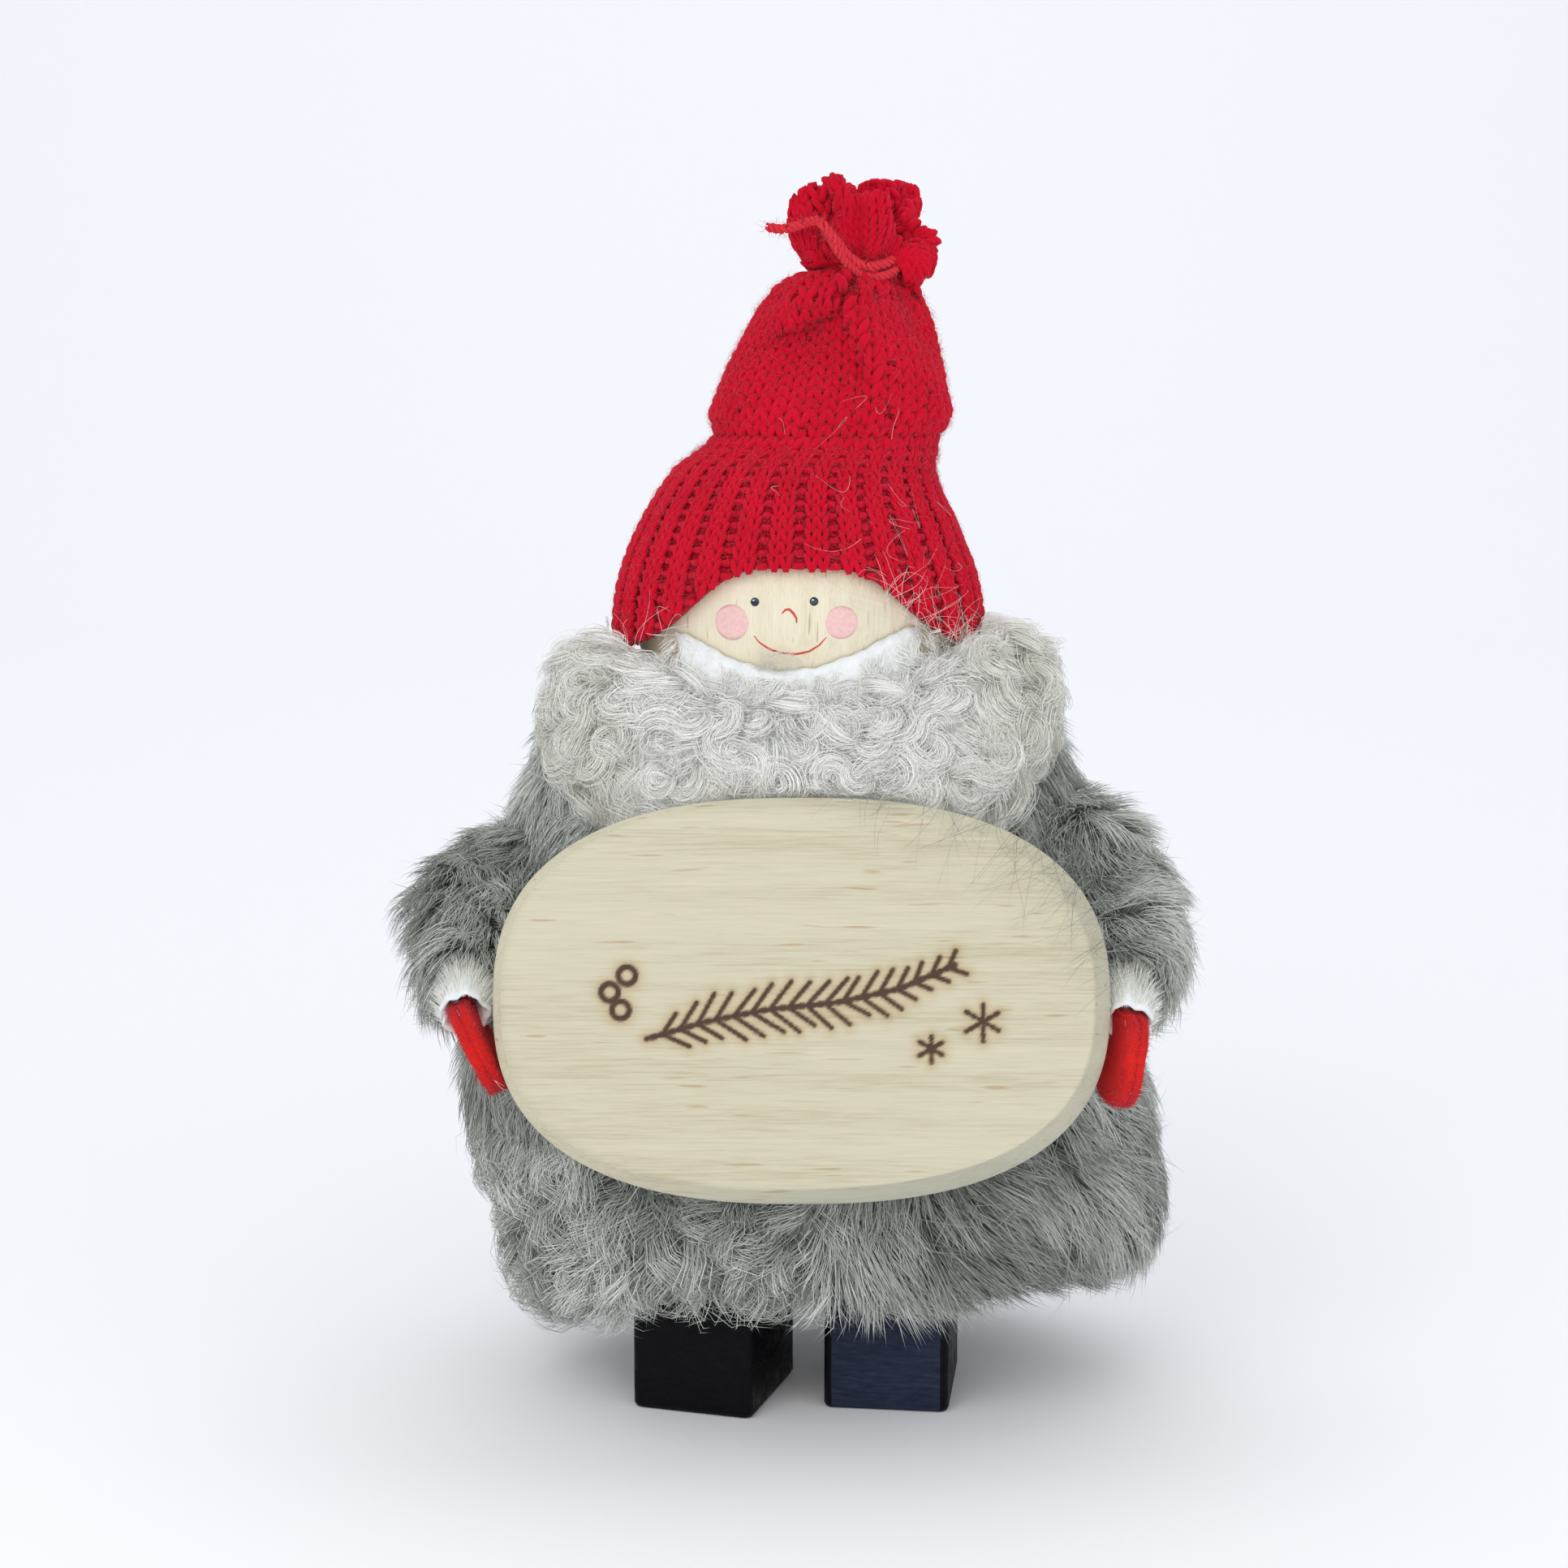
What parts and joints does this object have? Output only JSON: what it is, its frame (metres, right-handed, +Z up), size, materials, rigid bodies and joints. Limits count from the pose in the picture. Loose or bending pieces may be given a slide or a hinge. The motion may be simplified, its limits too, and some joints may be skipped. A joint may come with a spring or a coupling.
{
  "type": "tomte gnome figurine",
  "caption": "Standing tomte figurine with a wooden ball face, fur coat, curly beard and tall knitted hat, holding an oval wooden sign in red mittens.",
  "frame": {"origin": "on the floor, under the middle of the figurine's overall box", "axes": "+Z up; the face and the sign look along -Y; +X is to the right as seen from the front"},
  "size_m": [0.147, 0.1091, 0.2289],
  "materials": {
    "black_paint": "satin",
    "birch": "matte",
    "pine": "matte",
    "birch_ball": "satin",
    "steel_wire": "satin",
    "grey_fur": "matte",
    "white_fur": "matte",
    "red_felt": "matte",
    "birch_board": "matte",
    "red_knit": "matte",
    "tie_yarn": "matte",
    "wadding": "matte"
  },
  "bodies": {
    "figure": {"left_leg_block": "black_paint", "right_leg_block": "black_paint", "left_leg_dowel": "birch", "right_leg_dowel": "birch", "body_core": "pine", "neck_dowel": "birch", "head_ball": "birch_ball", "arm_wire": "steel_wire", "fur_coat": "grey_fur", "left_fur_sleeve": "grey_fur", "right_fur_sleeve": "grey_fur", "curly_beard": "white_fur", "left_mitten_palm": "red_felt", "left_mitten_back": "red_felt", "right_mitten_palm": "red_felt", "right_mitten_back": "red_felt", "oval_sign": "birch_board"},
    "hat": {"knitted_hat": "red_knit", "hat_tie_yarn": "tie_yarn", "hat_wadding": "wadding"}
  },
  "joints": [
    {"name": "hat_lift", "type": "slide", "parent": "figure", "child": "hat", "axis": [0, 0, 1], "range_m": [0, 0.06]}
  ]
}
